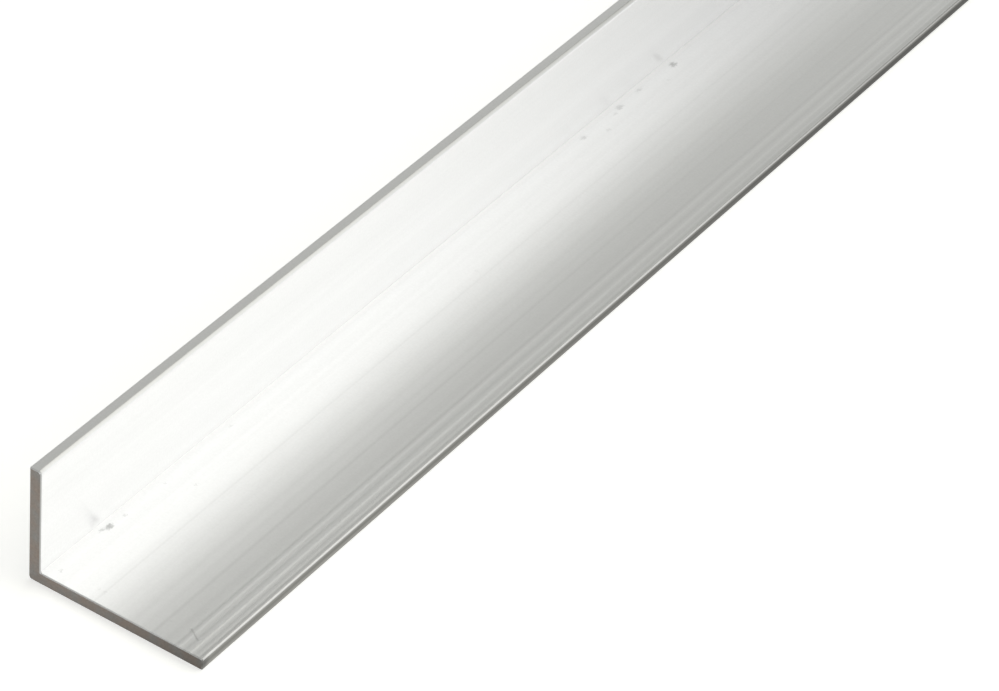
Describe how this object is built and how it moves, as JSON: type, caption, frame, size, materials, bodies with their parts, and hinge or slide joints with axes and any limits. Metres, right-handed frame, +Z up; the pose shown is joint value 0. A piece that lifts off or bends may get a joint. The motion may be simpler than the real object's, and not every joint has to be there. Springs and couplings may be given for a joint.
{
  "type": "aluminium angle profile",
  "caption": "Unequal-leg aluminium angle: a straight L-section extruded bar with rounded edges and square-sawn ends, for edging, framing and bracing.",
  "frame": {"origin": "under the middle of the bar, at the centre of the long leg's outside face", "axes": "+X across the long leg from the short leg's outside face, +Y along the bar, +Z up, along the short leg"},
  "size_m": [0.03, 1, 0.02],
  "materials": {
    "mill_aluminium": "bare mill finish with fine die lines along the bar and darker sawn ends"
  },
  "bodies": {
    "root": {"angle_profile": "mill_aluminium"}
  },
  "joints": []
}
